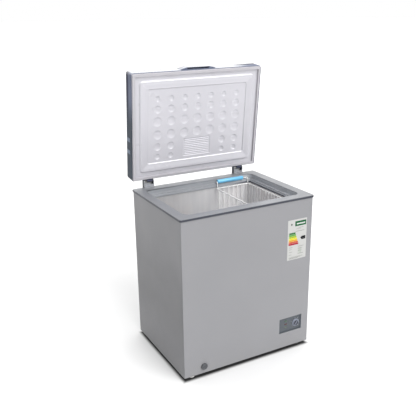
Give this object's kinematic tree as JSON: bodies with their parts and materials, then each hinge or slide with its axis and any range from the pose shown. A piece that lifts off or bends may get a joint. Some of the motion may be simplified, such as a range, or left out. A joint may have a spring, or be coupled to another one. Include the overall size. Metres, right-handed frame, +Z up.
{
  "type": "chest freezer",
  "caption": "Free-standing chest freezer with a top-hinged lid standing open, a hanging wire basket, a front control panel and a drain.",
  "frame": {"origin": "on the floor, at the bottom centre of the bounding box with the lid open; the cabinet's own footprint is centred 31 mm in front of it", "axes": "+X to the right seen from the front, +Y to the back, where the hinges are, +Z up"},
  "size_m": [0.718, 0.6103, 1.3919],
  "materials": {
    "silver_paint": "satin",
    "galvanised": "matte",
    "foam": "matte",
    "liner_aluminium": "satin",
    "frame_plastic": "satin",
    "trim_plastic": "satin",
    "copper_tube": "satin",
    "black_paint": "satin",
    "black_plastic": "matte",
    "black_rubber": "matte",
    "zinc_steel": "satin",
    "grille_plastic": "satin",
    "panel_plastic": "satin",
    "white_plastic": "satin",
    "lens_plastic": "gloss",
    "board": "satin",
    "foot_plastic": "matte",
    "slate_plastic": "satin",
    "label_paper": "satin",
    "knob_plastic": "satin",
    "drain_plastic": "satin",
    "gasket_rubber": "matte",
    "basket_wire": "gloss",
    "grip_plastic": "gloss"
  },
  "bodies": {
    "cabinet": {"outer_wrap": "silver_paint", "back_panel": "galvanised", "base_pan": "galvanised", "cabinet_foam": "foam", "inner_liner": "liner_aluminium", "top_frame": "frame_plastic", "frame_edge_trim": "trim_plastic", "evaporator_coil": "copper_tube", "condenser_coil": "copper_tube", "machine_room_panel": "galvanised", "compressor_tray": "galvanised", "compressor_grommets": "black_rubber", "compressor_bolts": "zinc_steel", "compressor_base_plate": "black_paint", "compressor_shell": "black_paint", "start_relay": "black_plastic", "relay_cover": "black_plastic", "filter_drier": "copper_tube", "suction_tube": "copper_tube", "discharge_tube": "copper_tube", "capillary_tube": "copper_tube", "side_vent_grille": "grille_plastic", "rear_cover": "galvanised", "rear_cover_screws": "zinc_steel", "control_bezel": "panel_plastic", "thermostat_body": "white_plastic", "thermostat_sensing_tube": "copper_tube", "indicator_lenses": "lens_plastic", "indicator_lamps": "board", "drain_tube": "white_plastic", "drain_collar": "drain_plastic", "feet": "foot_plastic", "foot_screws": "zinc_steel", "hinge_brackets": "zinc_steel", "hinge_covers": "slate_plastic", "hinge_bracket_screws": "zinc_steel", "hinge_pins": "zinc_steel", "hinge_springs": "zinc_steel", "energy_label": "label_paper", "rating_plate": "label_paper", "cord_gland": "black_rubber", "terminal_block": "white_plastic"},
    "lid": {"lid_skin": "silver_paint", "lid_frame": "slate_plastic", "lid_foam": "foam", "lid_liner": "white_plastic", "lid_gasket": "gasket_rubber", "lid_handle": "slate_plastic", "lid_handle_screws": "zinc_steel", "hinge_leaves": "zinc_steel", "hinge_leaf_screws": "zinc_steel"},
    "basket": {"basket_frame": "basket_wire", "basket_side_wires": "basket_wire", "basket_floor_wires": "basket_wire", "basket_grips": "grip_plastic"},
    "thermostat": {"thermostat_knob": "knob_plastic", "thermostat_shaft": "zinc_steel"},
    "drain_cap": {"drain_cap": "drain_plastic"},
    "drain_plug": {"drain_plug": "drain_plastic"}
  },
  "joints": [
    {"name": "lid_hinge", "type": "hinge", "parent": "cabinet", "child": "lid", "pos_m": [0, 0.251, 0.832], "axis": [1, 0, 0], "range_deg": [0, 84]},
    {"name": "thermostat_turn", "type": "hinge", "parent": "cabinet", "child": "thermostat", "pos_m": [0.28, -0.297, 0.137], "axis": [0, 1, 0], "range_deg": [0, 290]},
    {"name": "basket_slide", "type": "slide", "parent": "cabinet", "child": "basket", "axis": [1, 0, 0], "range_m": [-0.37, 0.003]},
    {"name": "drain_cap_pull", "type": "slide", "parent": "cabinet", "child": "drain_cap", "axis": [0, -1, 0], "range_m": [0, 0.02]},
    {"name": "drain_plug_lift", "type": "slide", "parent": "cabinet", "child": "drain_plug", "axis": [0, 0, 1], "range_m": [0, 0.02]}
  ]
}
